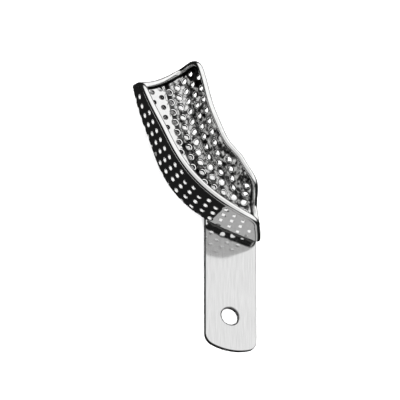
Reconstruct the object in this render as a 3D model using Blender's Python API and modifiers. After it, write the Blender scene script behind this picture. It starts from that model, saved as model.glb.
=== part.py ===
"""Perforated impression tray for one quarter of a dental arch, in stainless steel.

A perforated sheet is pressed into a curved trough (the pan), a round wire is brazed all
round its edge, and a flat handle strip with a hanging hole is brazed under its front end.

Design frame while modelling: X across the handle, Y from the handle towards the pan, Z up,
with zero on the handle's upper face, close to the centre of the hanging hole. The last step moves
everything so that the origin is at the bottom centre of the tray's box.
Lengths are in millimetres here and become metres when the meshes are made.
"""
import math

import bmesh
import bpy
import numpy as np
from mathutils import Matrix, Vector
from mathutils.geometry import delaunay_2d_cdt

MM = 0.001
OBJECT_NAME = "impression_tray"
TOUCH_GAP = 0.3

# Handle strip
HANDLE_WIDTH = 16.9
HANDLE_THICKNESS = 1.2
HANDLE_SHIFT = 0.6
HANDLE_INNER_END = 38.0
HANDLE_CROWN = 11.1
HANDLE_END_RADIUS = 18.0
HANDLE_CORNER_RADIUS = 3.6
HANDLE_EDGE_ROUND = 0.2
HANGING_HOLE_DIAMETER = 5.5
HANGING_HOLE_PLACE = (0.35, 0.4)
HANGING_HOLE_STEPS = 32
HANDLE_CORNER_STEPS = 6
HANDLE_END_STEPS = 12
CORNER_BEND_STEPS = 4

# Pan: centre line of the wire along its two rims, from the mesial end (by the handle) onwards
OUTER_RIM = (
    (8.0, 26.5, 11.8),
    (3.8, 27.3, 13.2),
    (-5.8, 29.8, 15.2),
    (-13.1, 33.2, 16.0),
    (-19.8, 39.0, 15.9),
    (-24.4, 46.9, 14.5),
    (-27.1, 54.3, 12.7),
    (-29.7, 61.3, 10.9),
    (-32.3, 70.6, 8.2),
)
INNER_RIM = (
    (6.6, 41.4, 11.6),
    (1.6, 43.7, 12.6),
    (-1.4, 47.9, 12.5),
    (-5.2, 51.7, 12.3),
    (-8.2, 57.4, 12.0),
    (-10.9, 64.6, 11.4),
    (-12.7, 72.4, 10.7),
    (-14.5, 80.0, 9.8),
)
OUTER_FLARE = math.radians(1.5)
INNER_FLARE = math.radians(19.0)
SHEET_THICKNESS = 0.8
OUTER_BEND_RADIUS = 3.0
INNER_BEND_RADIUS = 3.5
MESIAL_RAKE = 4.2
DISTAL_RAKE = {-1: 1.2, 1: 0.25}
DISTAL_SAG = 0.9
DISTAL_SAG_MIDDLE = 1.0
DISTAL_SAG_REACH = 6.5
CORNER_ROUNDS = (2.8, 3.4, 4.6, 3.0)
FLOOR_LEVEL = TOUCH_GAP + SHEET_THICKNESS / 2

# Perforation: a flat staggered pattern on the floor and inner wall, and columns up the outer wall
HOLE_DIAMETER = 1.6
HOLE_PITCH = 3.4
HOLE_ROW_ANGLE = math.radians(-79.0)
HOLE_ORIGIN = (-12.45, 48.28)
HOLE_SIDES = 6
HOLE_EDGE_MARGIN = 0.1
CORNER_EDGE_MARGIN = 0.8
LATTICE_REACH = 24
WALL_COLUMN_PITCH = 3.17
WALL_COLUMN_START = 1.22
WALL_ROW_PITCH = 3.35
WALL_ROW_RISE = 0.083
WALL_LOW_COLUMN = 7
WALL_LOW_HEIGHT = 1.6
WALL_LEAN = 0.013
WALL_UPRIGHT_ARC = 26.0
WALL_LEAN_LIMIT = 0.17
WALL_MIDDLE = 9.0
HOLE_CLEARANCE = 2.7
FLOOR_HOLE_REACH = 1.0
END_HOLE_SHIFT = 0.6
END_HOLE_MARGIN = 0.92
EDGE_SPACING = 2.2
SECTION_LENGTH = 40.0
CORNER_ROUND_STEPS = 4

# Rim wire
WIRE_DIAMETER = 1.8
WIRE_INSET = 0.5
WIRE_BUTT_GAP = 0.3

# Braze beads between pan and handle
BRAZE_DIAMETER = 0.8
REAR_BRAZE_RETURN = 1.5

STEEL_COLOR = (0.62, 0.62, 0.61, 1.0)
WELD_DISTANCE = 0.001


def spline(points, count):
    """Points of a natural cubic spline through the given points, evenly spaced by length."""
    given = np.array(points, dtype=float)
    knots = np.concatenate(([0.0], np.cumsum(np.linalg.norm(np.diff(given, axis=0), axis=1))))
    size = len(given)
    step = np.diff(knots)
    matrix = np.eye(size)
    right = np.zeros_like(given)
    for i in range(1, size - 1):
        matrix[i, i - 1:i + 2] = step[i - 1], 2 * (step[i - 1] + step[i]), step[i]
        slopes = (given[i + 1] - given[i]) / step[i] - (given[i] - given[i - 1]) / step[i - 1]
        right[i] = 6 * slopes
    bend = np.linalg.solve(matrix, right)
    dense = np.linspace(0.0, knots[-1], 40 * count)
    span = np.clip(np.searchsorted(knots, dense) - 1, 0, size - 2)
    width = step[span][:, None]
    after = (dense - knots[span])[:, None] / width
    before = 1 - after
    curve = before * given[span] + after * given[span + 1]
    curve += ((before ** 3 - before) * bend[span] + (after ** 3 - after) * bend[span + 1]) * width ** 2 / 6
    length = np.concatenate(([0.0], np.cumsum(np.linalg.norm(np.diff(curve, axis=0), axis=1))))
    wanted = np.linspace(0.0, length[-1], count)
    return np.column_stack([np.interp(wanted, length, curve[:, axis]) for axis in range(curve.shape[1])])


class PanSurface:
    """Middle surface of the pressed sheet.

    A point is named by u, from 0 at the mesial end to 1 at the distal end, and by w, the
    length over the section from the middle of the floor: negative up the outer wall and
    positive up the inner wall.
    """

    STATIONS = 121

    def __init__(self):
        self.u = np.linspace(0.0, 1.0, self.STATIONS)
        self.outer = spline(OUTER_RIM, self.STATIONS)
        self.inner = spline(INNER_RIM, self.STATIONS)
        between = (self.outer + self.inner)[:, :2] / 2
        self.length = float(np.linalg.norm(np.diff(between, axis=0), axis=1).sum())
        stations = [self.station(u) for u in self.u]
        self.middles = np.array([station[0] for station in stations])
        self.acrosses = np.array([station[1] for station in stations])

    @staticmethod
    def wall(height, flare, radius):
        """A wall's turn, its straight run, its reach beyond the flat floor and its bend radius."""
        turn = math.pi / 2 - flare
        run = (height - FLOOR_LEVEL - radius * (1 - math.cos(turn))) / math.sin(turn)
        reach = radius * math.sin(turn) + run * math.cos(turn)
        return turn, run, reach, radius

    def station(self, u):
        """Everything about the cross-section at u."""
        outer = np.array([np.interp(u, self.u, self.outer[:, axis]) for axis in range(3)])
        inner = np.array([np.interp(u, self.u, self.inner[:, axis]) for axis in range(3)])
        across = (inner - outer)[:2]
        width = np.linalg.norm(across) + 2 * WIRE_INSET
        across = across / np.linalg.norm(across)
        below = WIRE_DIAMETER / 2 + TOUCH_GAP
        outer_wall = self.wall(outer[2] - below, OUTER_FLARE, OUTER_BEND_RADIUS)
        inner_wall = self.wall(inner[2] - below, INNER_FLARE, INNER_BEND_RADIUS)
        half_floor = (width - outer_wall[2] - inner_wall[2]) / 2
        middle = outer[:2] + across * (outer_wall[2] + half_floor - WIRE_INSET)
        return middle, across, half_floor, outer_wall, inner_wall

    def edge(self, u, side):
        """Value of w at the rim: side -1 is the outer rim, side 1 the inner rim."""
        half_floor, outer_wall, inner_wall = self.station(u)[2:]
        turn, run, _, radius = outer_wall if side < 0 else inner_wall
        return side * (half_floor + radius * turn + run)

    def point(self, u, w):
        """Position of (u, w); u may lie a little outside 0 to 1."""
        inside = min(max(u, 0.0), 1.0)
        place = self._point(inside, w)
        if inside != u:
            near = 0.01 if u < 0 else 0.99
            place = place + (self._point(inside, w) - self._point(near, w)) / (inside - near) * (u - inside)
        return place

    def _point(self, u, w):
        middle, across, half_floor, outer_wall, inner_wall = self.station(u)
        turn, _, _, radius = outer_wall if w < 0 else inner_wall
        over = abs(w)
        if over <= half_floor:
            out, rise = over, 0.0
        elif over <= half_floor + radius * turn:
            angle = (over - half_floor) / radius
            out = half_floor + radius * math.sin(angle)
            rise = radius * (1 - math.cos(angle))
        else:
            run = over - half_floor - radius * turn
            out = half_floor + radius * math.sin(turn) + run * math.cos(turn)
            rise = radius * (1 - math.cos(turn)) + run * math.sin(turn)
        flat = middle + across * math.copysign(out, w)
        return np.array([flat[0], flat[1], FLOOR_LEVEL + rise])

    def axes(self, u, w):
        """Derivatives of the position by u and by w."""
        step = 1e-3
        by_u = (self.point(u + step, w) - self.point(u - step, w)) / (2 * step)
        by_w = (self.point(u, w + step) - self.point(u, w - step)) / (2 * step)
        return by_u, by_w

    def frame(self, u, w):
        """Unit vectors across and along the sheet at (u, w), its normal, and the length of u."""
        by_u, by_w = self.axes(u, w)
        across = by_w / np.linalg.norm(by_w)
        along = by_u - across * by_u.dot(across)
        scale = np.linalg.norm(along)
        along = along / scale
        return across, along, np.cross(along, across), scale, by_u.dot(across)

    def shifted(self, u, w, across, along):
        """(u, w) moved by two lengths measured on the sheet."""
        _, _, _, scale, skew = self.frame(u, w)
        du = along / scale
        return u + du, w + across - du * skew

    def from_blank(self, spot):
        """The (u, w) of a point of the flat sheet, or None where it is off the trough."""
        offset = spot - self.middles
        side = offset[:, 0] * self.acrosses[:, 1] - offset[:, 1] * self.acrosses[:, 0]
        found = []
        for i in np.nonzero((side[:-1] > 0) != (side[1:] > 0))[0]:
            part = side[i] / (side[i] - side[i + 1])
            u = self.u[i] + (self.u[i + 1] - self.u[i]) * part
            middle, across = self.station(u)[:2]
            found.append((u, float(np.dot(spot - middle, across))))
        return min(found, key=lambda place: abs(place[1])) if found else None


def end_offset(surface, u_end, w):
    """How far the sheet's end is cut back at w: raked up the walls, and hollow at the distal end."""
    half_floor = surface.station(u_end)[2]
    top = abs(surface.edge(u_end, -1 if w < 0 else 1))
    climb = max(0.0, (abs(w) - half_floor) / (top - half_floor))
    cut = (DISTAL_RAKE[-1 if w < 0 else 1] if u_end else MESIAL_RAKE) * climb ** 1.3
    if u_end:
        cut += DISTAL_SAG * max(0.0, 1 - ((w - DISTAL_SAG_MIDDLE) / DISTAL_SAG_REACH) ** 2)
    return cut / surface.length


def rounded(polylines, radii, steps):
    """Join polylines end to end into a loop; each corner is rounded with its own radius."""
    loop = []
    trimmed = []
    for line, before, after in zip(polylines, radii[-1:] + radii[:-1], radii):
        line = np.array(line)
        length = np.concatenate(([0.0], np.cumsum(np.linalg.norm(np.diff(line, axis=0), axis=1))))
        cuts = (before, length[-1] - after)
        inside = (length > cuts[0]) & (length < cuts[1])
        ends = [[np.interp(at, length, line[:, axis]) for axis in range(2)] for at in cuts]
        trimmed.append(np.vstack((ends[0], line[inside], ends[1])))
    for index, line in enumerate(trimmed):
        corner = np.array(polylines[index][-1])
        start, end = line[-1], trimmed[(index + 1) % len(trimmed)][0]
        loop.extend(line)
        for step in range(1, steps):
            part = step / steps
            loop.append((1 - part) ** 2 * start + 2 * part * (1 - part) * corner + part ** 2 * end)
    return np.array(loop)


def sheet_outline(surface):
    """Loop of the sheet's edge in (u times length, w)."""
    spacing = EDGE_SPACING
    size = surface.length
    u_mesial = {side: end_offset(surface, 0.0, surface.edge(0.0, side)) for side in (-1, 1)}
    u_distal = {side: 1 - end_offset(surface, 1.0, surface.edge(1.0, side)) for side in (-1, 1)}
    count = round(size / spacing)
    sides = {}
    for side in (-1, 1):
        values = np.linspace(u_mesial[side], u_distal[side], count)
        sides[side] = [(u * size, surface.edge(u, side)) for u in values]
    across = np.linspace(0.0, 1.0, round(SECTION_LENGTH / spacing))
    distal = []
    mesial = []
    for part in across:
        w = sides[-1][-1][1] + (sides[1][-1][1] - sides[-1][-1][1]) * part
        distal.append(((1 - end_offset(surface, 1.0, w)) * size, w))
        w = sides[1][0][1] + (sides[-1][0][1] - sides[1][0][1]) * part
        mesial.append((end_offset(surface, 0.0, w) * size, w))
    distal[0], distal[-1] = sides[-1][-1], sides[1][-1]
    mesial[0], mesial[-1] = sides[1][0], sides[-1][0]
    return rounded([sides[-1], distal, sides[1][::-1], mesial], CORNER_ROUNDS, CORNER_ROUND_STEPS)


def inside_margin(loop, spot):
    """Distance from a spot inside the loop to the loop, or a negative number outside it."""
    start = loop
    end = np.roll(loop, -1, axis=0)
    run = end - start
    part = np.clip(((spot - start) * run).sum(axis=1) / (run ** 2).sum(axis=1), 0, 1)
    gap = np.linalg.norm(start + run * part[:, None] - spot, axis=1).min()
    crosses = (start[:, 1] > spot[1]) != (end[:, 1] > spot[1])
    with np.errstate(divide="ignore", invalid="ignore"):
        cut = start[:, 0] + (spot[1] - start[:, 1]) / run[:, 1] * run[:, 0]
    return gap if (crosses & (spot[0] < cut)).sum() % 2 else -gap


def outer_wall_columns(surface):
    """Hole centres of the outer wall as (u, w), in staggered columns evenly spaced along it."""
    beyond = np.linspace(-0.05, 1.05, 2 * surface.STATIONS)
    middles = [-surface.station(min(max(u, 0), 1))[2] - WALL_MIDDLE for u in beyond]
    places = np.array([surface.point(u, w) for u, w in zip(beyond, middles)])
    arc = np.concatenate(([0.0], np.cumsum(np.linalg.norm(np.diff(places, axis=0), axis=1))))
    arc -= np.interp(0.0, beyond, arc)
    centres = []
    for column in range(round(arc[-1] / WALL_COLUMN_PITCH)):
        along = WALL_COLUMN_START + WALL_COLUMN_PITCH * column
        start = WALL_LOW_HEIGHT + WALL_ROW_RISE * (column - WALL_LOW_COLUMN) ** 2
        start = (start + WALL_ROW_PITCH * ((column + 1) % 2) / 2) % WALL_ROW_PITCH
        lean = WALL_LEAN * (WALL_UPRIGHT_ARC - along)
        lean = min(max(lean, -WALL_LEAN_LIMIT), WALL_LEAN_LIMIT)
        for row in range(6):
            climb = start + WALL_ROW_PITCH * row
            u = float(np.interp(along + lean * (climb - WALL_MIDDLE), arc, beyond))
            if 0 < u < 1:
                centres.append((u, -surface.station(u)[2] - climb))
    return centres


def lattice(surface):
    """Hole centres and the corners between the flat pattern's holes, as (u, w)."""
    first = HOLE_PITCH * np.array([math.cos(HOLE_ROW_ANGLE), math.sin(HOLE_ROW_ANGLE)])
    turned = HOLE_ROW_ANGLE + math.pi / 3
    second = HOLE_PITCH * np.array([math.cos(turned), math.sin(turned)])
    reach = range(-LATTICE_REACH, LATTICE_REACH + 1)
    spots = [np.array(HOLE_ORIGIN) + i * first + j * second for i in reach for j in reach]
    wall = outer_wall_columns(surface)
    wall_places = np.array([surface.point(u, w) for u, w in wall])

    def on_floor(spot, clearance):
        place = surface.from_blank(spot)
        if place is None or place[1] < -surface.station(place[0])[2] - FLOOR_HOLE_REACH:
            return None
        u, w = place
        last_u = 1 - end_offset(surface, 1.0, w) - END_HOLE_MARGIN / surface.length
        if last_u < u < last_u + END_HOLE_SHIFT / surface.length:
            u = last_u
        gap = np.linalg.norm(wall_places - surface.point(u, w), axis=1).min()
        return (u, w) if gap > clearance else None

    centres = [on_floor(spot, HOLE_CLEARANCE) for spot in spots]
    thirds = [(first + second) / 3, (first + second) * 2 / 3]
    corners = [on_floor(spot + third, HOLE_DIAMETER) for spot in spots for third in thirds]
    return wall + [place for place in centres if place], [place for place in corners if place]


def hole_outline(surface, u, w, sides):
    """Points (u, w) round a hole that is circular on the formed sheet."""
    outline = []
    for side in range(sides):
        angle = 2 * math.pi * (side + 0.5) / sides
        across = HOLE_DIAMETER / 2 * math.cos(angle)
        along = HOLE_DIAMETER / 2 * math.sin(angle)
        outline.append(surface.shifted(u, w, across, along))
    return outline


def pressed_sheet_mesh(surface):
    """Middle surface of the perforated sheet: triangles round the holes, bent to the trough."""
    size = surface.length
    loop = sheet_outline(surface)
    points = [Vector(spot) for spot in loop]
    rings = [list(range(len(loop)))]
    centres, corners = lattice(surface)
    for u, w in centres:
        if inside_margin(loop, np.array([u * size, w])) < HOLE_DIAMETER / 2 + HOLE_EDGE_MARGIN:
            continue
        outline = hole_outline(surface, u, w, HOLE_SIDES)
        rings.append(list(range(len(points), len(points) + HOLE_SIDES)))
        points.extend(Vector((at_u * size, at_w)) for at_u, at_w in outline)
    for u, w in corners:
        if inside_margin(loop, np.array([u * size, w])) > CORNER_EDGE_MARGIN:
            points.append(Vector((u * size, w)))
    edges = [(ring[i - 1], ring[i]) for ring in rings for i in range(len(ring))]
    hole_of = {corner: number for number, ring in enumerate(rings) if number for corner in ring}
    flat, _, faces, sources, _, _ = delaunay_2d_cdt(points, edges, [], 0, 1e-6)
    body = bmesh.new()
    verts = [body.verts.new(surface.point(spot.x / size, spot.y) * MM) for spot in flat]
    for face in faces:
        holes = {hole_of.get(sources[i][0]) if sources[i] else None for i in face}
        centre = np.mean([flat[i] for i in face], axis=0)
        if (len(holes) > 1 or None in holes) and inside_margin(loop, centre) > 0:
            body.faces.new([verts[i] for i in face])
    loose = [vert for vert in verts if not vert.link_faces]
    bmesh.ops.delete(body, geom=loose, context="VERTS")
    bmesh.ops.recalc_face_normals(body, faces=body.faces)
    mesh = bpy.data.meshes.new("perforated_pan")
    body.to_mesh(mesh)
    body.free()
    return mesh


def material(name, roughness):
    """Stainless steel or braze metal with its own roughness."""
    made = bpy.data.materials.new(name)
    made.use_nodes = True
    shader = made.node_tree.nodes["Principled BSDF"]
    shader.inputs["Base Color"].default_value = STEEL_COLOR
    shader.inputs["Metallic"].default_value = 1.0
    shader.inputs["Roughness"].default_value = roughness
    return made


def add_object(name, data, roughness, collection, parent):
    """Put a finished shape in the tray's collection."""
    thing = bpy.data.objects.new(name, data)
    data.materials.append(material(name, roughness))
    collection.objects.link(thing)
    thing.parent = parent
    return thing


def mesh_from_curve(curve_data, name):
    """A curve's evaluated shape as a closed mesh, with its caps welded."""
    temporary = bpy.data.objects.new(name, curve_data)
    bpy.context.scene.collection.objects.link(temporary)
    evaluated = temporary.evaluated_get(bpy.context.evaluated_depsgraph_get())
    mesh = bpy.data.meshes.new_from_object(evaluated)
    body = bmesh.new()
    body.from_mesh(mesh)
    bmesh.ops.remove_doubles(body, verts=body.verts, dist=WELD_DISTANCE * MM)
    bmesh.ops.recalc_face_normals(body, faces=body.faces)
    body.to_mesh(mesh)
    body.free()
    mesh.name = name
    bpy.data.objects.remove(temporary)
    bpy.data.curves.remove(curve_data)
    return mesh


def tube_mesh(points, diameter, name):
    """A round wire through the points, with flat ends."""
    curve = bpy.data.curves.new(name, "CURVE")
    curve.dimensions = "3D"
    curve.bevel_depth = diameter / 2 * MM
    curve.bevel_resolution = 2
    curve.use_fill_caps = True
    route = curve.splines.new("POLY")
    route.points.add(len(points) - 1)
    for knot, point in zip(route.points, points):
        knot.co = (*[value * MM for value in point], 1.0)
    return mesh_from_curve(curve, name)


def rim_wire_points(surface):
    """Centre line of the wire that runs round the sheet's edge, from its butt joint and back."""
    size = surface.length
    loop = sheet_outline(surface)
    edge = np.array([surface.point(u / size, w) for u, w in loop])
    forward = np.roll(edge, -1, axis=0) - np.roll(edge, 1, axis=0)
    centres = []
    for (u, w), place, run in zip(loop, edge, forward):
        normal = surface.frame(u / size, w)[2]
        outward = np.cross(run, normal)
        outward = outward / np.linalg.norm(outward)
        centres.append(place + outward * (WIRE_DIAMETER / 2 + TOUCH_GAP) - normal * WIRE_INSET)
    centres = np.array(centres)
    start = int(np.argmin([abs(w) + (1000 if u > size / 2 else 0) for u, w in loop]))
    ring = np.roll(centres, -start, axis=0)
    closing = ring[0] - ring[-1]
    joint = ring[0] - closing / np.linalg.norm(closing) * WIRE_BUTT_GAP
    return np.vstack((ring, joint))


def handle_outline():
    """Corner points and arcs of the handle strip, counter-clockwise from its inner right corner."""
    half = HANDLE_WIDTH / 2
    corner = HANDLE_CORNER_RADIUS
    centre_y = HANDLE_END_RADIUS - HANDLE_CROWN
    meet = math.asin((half - corner) / (HANDLE_END_RADIUS - corner))
    corner_y = centre_y - (HANDLE_END_RADIUS - corner) * math.cos(meet)
    points = [(half, HANDLE_INNER_END), (-half, HANDLE_INNER_END)]
    for step in range(HANDLE_CORNER_STEPS + 1):
        angle = math.pi + (math.pi / 2 - meet) * step / HANDLE_CORNER_STEPS
        points.append((corner - half + corner * math.cos(angle), corner_y + corner * math.sin(angle)))
    for step in range(1, HANDLE_END_STEPS):
        angle = -math.pi / 2 - meet + 2 * meet * step / HANDLE_END_STEPS
        points.append((HANDLE_END_RADIUS * math.cos(angle), centre_y + HANDLE_END_RADIUS * math.sin(angle)))
    for step in range(HANDLE_CORNER_STEPS + 1):
        angle = -math.pi / 2 + meet + (math.pi / 2 - meet) * step / HANDLE_CORNER_STEPS
        points.append((half - corner + corner * math.cos(angle), corner_y + corner * math.sin(angle)))
    return points


def circle(centre, radius, steps):
    """Points round a circle."""
    turns = [2 * math.pi * step / steps for step in range(steps)]
    return [(centre[0] + radius * math.cos(turn), centre[1] + radius * math.sin(turn)) for turn in turns]


def handle_mesh():
    """The flat strip with its round end and hanging hole, its edges slightly rounded."""
    curve = bpy.data.curves.new("handle_strip", "CURVE")
    curve.dimensions = "2D"
    curve.fill_mode = "BOTH"
    curve.extrude = (HANDLE_THICKNESS / 2 - HANDLE_EDGE_ROUND) * MM
    curve.bevel_depth = HANDLE_EDGE_ROUND * MM
    curve.bevel_resolution = 1
    curve.offset = -HANDLE_EDGE_ROUND * MM
    strip = [(x + HANDLE_SHIFT, y) for x, y in handle_outline()]
    hole = circle(HANGING_HOLE_PLACE, HANGING_HOLE_DIAMETER / 2, HANGING_HOLE_STEPS)
    for outline in (strip, hole):
        spline_data = curve.splines.new("POLY")
        spline_data.points.add(len(outline) - 1)
        for knot, point in zip(spline_data.points, outline):
            knot.co = (point[0] * MM, point[1] * MM, 0.0, 1.0)
        spline_data.use_cyclic_u = True
    return mesh_from_curve(curve, "handle_strip")


def front_braze_points(surface):
    """Centre line of the braze bead in the corner between the pan's outer wall and the handle."""
    radius = BRAZE_DIAMETER / 2
    bend_centre = FLOOR_LEVEL + OUTER_BEND_RADIUS
    reach = OUTER_BEND_RADIUS + SHEET_THICKNESS / 2 + TOUCH_GAP + radius
    height = TOUCH_GAP + radius
    out = math.sqrt(reach ** 2 - (bend_centre - height) ** 2)
    limit = HANDLE_WIDTH / 2 - BRAZE_DIAMETER
    points = []
    for u in surface.u:
        middle, across, half_floor = surface.station(u)[:3]
        spot = middle - across * (half_floor + out)
        if abs(spot[0] - HANDLE_SHIFT) < limit:
            points.append((spot[0], spot[1], height))
    return points[::2]


def rear_braze_points():
    """Centre line of the braze bead under the pan, round the handle's hidden end."""
    radius = BRAZE_DIAMETER / 2
    left = HANDLE_SHIFT - HANDLE_WIDTH / 2
    right = HANDLE_SHIFT + HANDLE_WIDTH / 2
    away = TOUCH_GAP + radius
    height = TOUCH_GAP - away
    turn_points = [(left - away, HANDLE_INNER_END - REAR_BRAZE_RETURN, height)]
    for step in range(CORNER_BEND_STEPS + 1):
        angle = math.pi - math.pi / 2 * step / CORNER_BEND_STEPS
        turn_points.append((left + away * math.cos(angle), HANDLE_INNER_END + away * math.sin(angle), height))
    turn_points.append((right - BRAZE_DIAMETER, HANDLE_INNER_END + away, height))
    return turn_points


def solidify(thing, thickness):
    """Give the sheet its thickness, half to each side."""
    modifier = thing.modifiers.new("sheet thickness", "SOLIDIFY")
    modifier.thickness = thickness * MM
    modifier.offset = 0.0
    modifier.use_even_offset = True


def centre_on_floor(root, things):
    """Move the root so that the origin is at the bottom centre of the tray's box."""
    bpy.context.view_layer.update()
    graph = bpy.context.evaluated_depsgraph_get()
    corners = []
    for thing in things:
        mesh = thing.evaluated_get(graph).to_mesh()
        corners.extend(thing.matrix_world @ vert.co for vert in mesh.vertices)
    corners = np.array(corners)
    low = corners.min(axis=0)
    high = corners.max(axis=0)
    root.location = (-(low[0] + high[0]) / 2, -(low[1] + high[1]) / 2, -low[2])
    bpy.context.view_layer.update()


def build():
    """Make every piece of the tray."""
    for old in list(bpy.data.objects):
        bpy.data.objects.remove(old)
    collection = bpy.data.collections.new(OBJECT_NAME)
    bpy.context.scene.collection.children.link(collection)
    root = bpy.data.objects.new("tray_frame", None)
    collection.objects.link(root)
    surface = PanSurface()

    pan = add_object("perforated_pan", pressed_sheet_mesh(surface), 0.18, collection, root)
    solidify(pan, SHEET_THICKNESS)
    wire = tube_mesh(rim_wire_points(surface), WIRE_DIAMETER, "rim_wire")
    handle = handle_mesh()
    handle.transform(Matrix.Translation((0, 0, -HANDLE_THICKNESS / 2 * MM)))
    front = tube_mesh(front_braze_points(surface), BRAZE_DIAMETER, "front_braze")
    rear = tube_mesh(rear_braze_points(), BRAZE_DIAMETER, "rear_braze")
    things = [pan]
    for name, mesh, roughness in (
        ("rim_wire", wire, 0.15),
        ("handle_strip", handle, 0.3),
        ("front_braze", front, 0.45),
        ("rear_braze", rear, 0.45),
    ):
        things.append(add_object(name, mesh, roughness, collection, root))
        mesh.shade_smooth()
        mesh.set_sharp_from_angle(angle=math.radians(40))
    centre_on_floor(root, things)


build()
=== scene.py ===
# Looks of a partial impression tray: a polished perforated trough with a wired rim, brazed on a
# satin handle strip, on a white table in a light tent. Lengths are in millimetres until the
# meshes are made. The design frame has its zero on the handle's upper face, close to the
# hanging hole's centre, with Y towards the trough and Z up.
import math

import bpy
import numpy as np
from mathutils import Matrix, Vector
from mathutils.geometry import delaunay_2d_cdt


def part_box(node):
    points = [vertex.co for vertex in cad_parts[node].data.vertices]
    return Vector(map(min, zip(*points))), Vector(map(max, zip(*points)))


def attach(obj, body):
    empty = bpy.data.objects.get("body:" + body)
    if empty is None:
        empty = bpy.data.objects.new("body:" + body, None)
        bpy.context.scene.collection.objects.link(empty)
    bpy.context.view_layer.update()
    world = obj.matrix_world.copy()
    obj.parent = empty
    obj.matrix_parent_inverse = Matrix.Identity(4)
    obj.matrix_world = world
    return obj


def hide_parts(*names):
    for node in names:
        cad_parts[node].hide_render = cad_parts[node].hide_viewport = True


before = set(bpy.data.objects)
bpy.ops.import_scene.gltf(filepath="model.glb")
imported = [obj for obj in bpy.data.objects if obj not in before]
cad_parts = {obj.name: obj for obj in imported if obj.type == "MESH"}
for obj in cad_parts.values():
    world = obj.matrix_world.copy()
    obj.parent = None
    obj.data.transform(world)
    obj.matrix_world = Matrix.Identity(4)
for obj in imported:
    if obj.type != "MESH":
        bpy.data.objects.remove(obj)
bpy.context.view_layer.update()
MM = 0.001

# Handle strip
HANDLE_WIDTH = 16.9
HANDLE_THICKNESS = 1.2
HANDLE_SHIFT = 0.6
HANDLE_INNER_END = 38.0
HANDLE_CROWN = 11.1
HANDLE_END_RADIUS = 18.0
HANDLE_CORNER_RADIUS = 3.6
HANDLE_EDGE_ROUND = 0.22
HANGING_HOLE_DIAMETER = 5.5
HANGING_HOLE_PLACE = (0.35, 0.4)
HANGING_HOLE_SIDES = 64
HOLE_CHAMFER = 0.45
HOLE_CHAMFER_DEPTH = 0.3
HOLE_CHAMFER_SOFTNESS = 0.12
HOLE_LOWER_ROUND = 0.12

# Pan: centre line of the wire along its two rims, from the mesial end (by the handle) onwards
OUTER_RIM = (
    (8.0, 26.5, 11.8),
    (3.8, 27.3, 13.2),
    (-5.8, 29.8, 15.2),
    (-13.1, 33.2, 16.0),
    (-19.8, 39.0, 15.9),
    (-24.4, 46.9, 14.5),
    (-27.1, 54.3, 12.7),
    (-29.7, 61.3, 10.9),
    (-32.3, 70.6, 8.2),
)
INNER_RIM = (
    (6.6, 41.4, 11.6),
    (1.6, 43.7, 12.6),
    (-1.4, 47.9, 12.5),
    (-5.2, 51.7, 12.3),
    (-8.2, 57.4, 12.0),
    (-10.9, 64.6, 11.4),
    (-12.7, 72.4, 10.7),
    (-14.5, 80.0, 9.8),
)
OUTER_FLARE = math.radians(1.5)
INNER_FLARE = math.radians(19.0)
TOUCH_GAP = 0.3
SHEET_THICKNESS = 0.8
SHEET_REACH = 0.55
BEND_RADIUS = {-1: 3.0, 1: 3.5}
MESIAL_RAKE = 4.2
RAKE_POWER = 1.3
DISTAL_RAKE = {-1: 1.2, 1: 0.25}
DISTAL_SAG = 0.9
DISTAL_SAG_MIDDLE = 1.0
DISTAL_SAG_REACH = 6.5
CORNER_ROUNDS = (2.8, 3.4, 4.6, 3.0)
FLOOR_LEVEL = TOUCH_GAP + SHEET_THICKNESS / 2
SECTION_LENGTH = 40.0
EDGE_SPACING = 0.55
CORNER_STEPS = 14
STATIONS = 241

# Perforation
HOLE_DIAMETER = 1.6
HOLE_PITCH = 3.4
HOLE_ROW_ANGLE = math.radians(-79.0)
HOLE_ORIGIN = (-12.45, 48.28)
HOLE_EDGE_MARGIN = 0.1
HOLE_SIDES = 20
HOLE_TURNS = 2 * math.pi * np.arange(HOLE_SIDES) / HOLE_SIDES
HOLE_LIP_RADII = (0.8, 0.86, 0.96, 1.1, 1.3)
HOLE_LIP_DEPTH = 0.07
HOLE_LIP_POWER = 2.5
LATTICE_REACH = 24
WALL_COLUMN_PITCH = 3.17
WALL_COLUMN_START = 1.22
WALL_ROW_PITCH = 3.35
WALL_ROWS = 6
WALL_ROW_RISE = 0.083
WALL_LOW_COLUMN = 7
WALL_LOW_HEIGHT = 1.6
WALL_LEAN = 0.013
WALL_UPRIGHT_ARC = 26.0
WALL_LEAN_LIMIT = 0.17
WALL_MIDDLE = 9.0
HOLE_CLEARANCE = 2.7
FLOOR_HOLE_REACH = 1.0
END_HOLE_SHIFT = 0.6
END_HOLE_MARGIN = 0.92
WEB_SPACING = 0.85

# Painted light and shade on the metal, as (place, level) stops: painted highlights and dark rings
# round holes, painted blotchy reflection on the inner wall, painted dark reflection on the handle's
# edges, and painted shade in the hole bores, at the inner wall's foot, under the distal wire, beside
# the wire and low on the sheet's outer side by the handle. A place is in millimetres from a hole's
# centre, from the floor's edge up the inner wall, or from the sheet's edge; the handle's edge tones
# and the tones of the shade by the handle go from 0 to 1 instead.
# Painted highlight on each hole's rim and a painted dark reflection ring round it
RING_REFLECTION_TONES = ((0.84, 0.3), (0.88, 1.3), (1.04, 1.3), (1.1, 0.03), (1.3, 0.03))
WEB_FROM = ((1.24, 0.0), (1.36, 1.0))
# Painted shade down the hole bores, so that the floor's holes look black
BORE_SHADE_TONES = ((0.8, 0.05), (0.83, 0.05), (0.86, 1.0))
FLOOR_FROM = ((-20.0, 0.0), (-19.0, 1.0))
RINGED_FROM = ((-5.0, 0.0), (-4.7, 1.0))
# Where the painted blotchy reflection and the wavier bump begin up the inner wall
DRAWN_WALL_AND_REFLECTION_FROM = ((-4.3, 0.0), (-4.0, 1.0))
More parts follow.
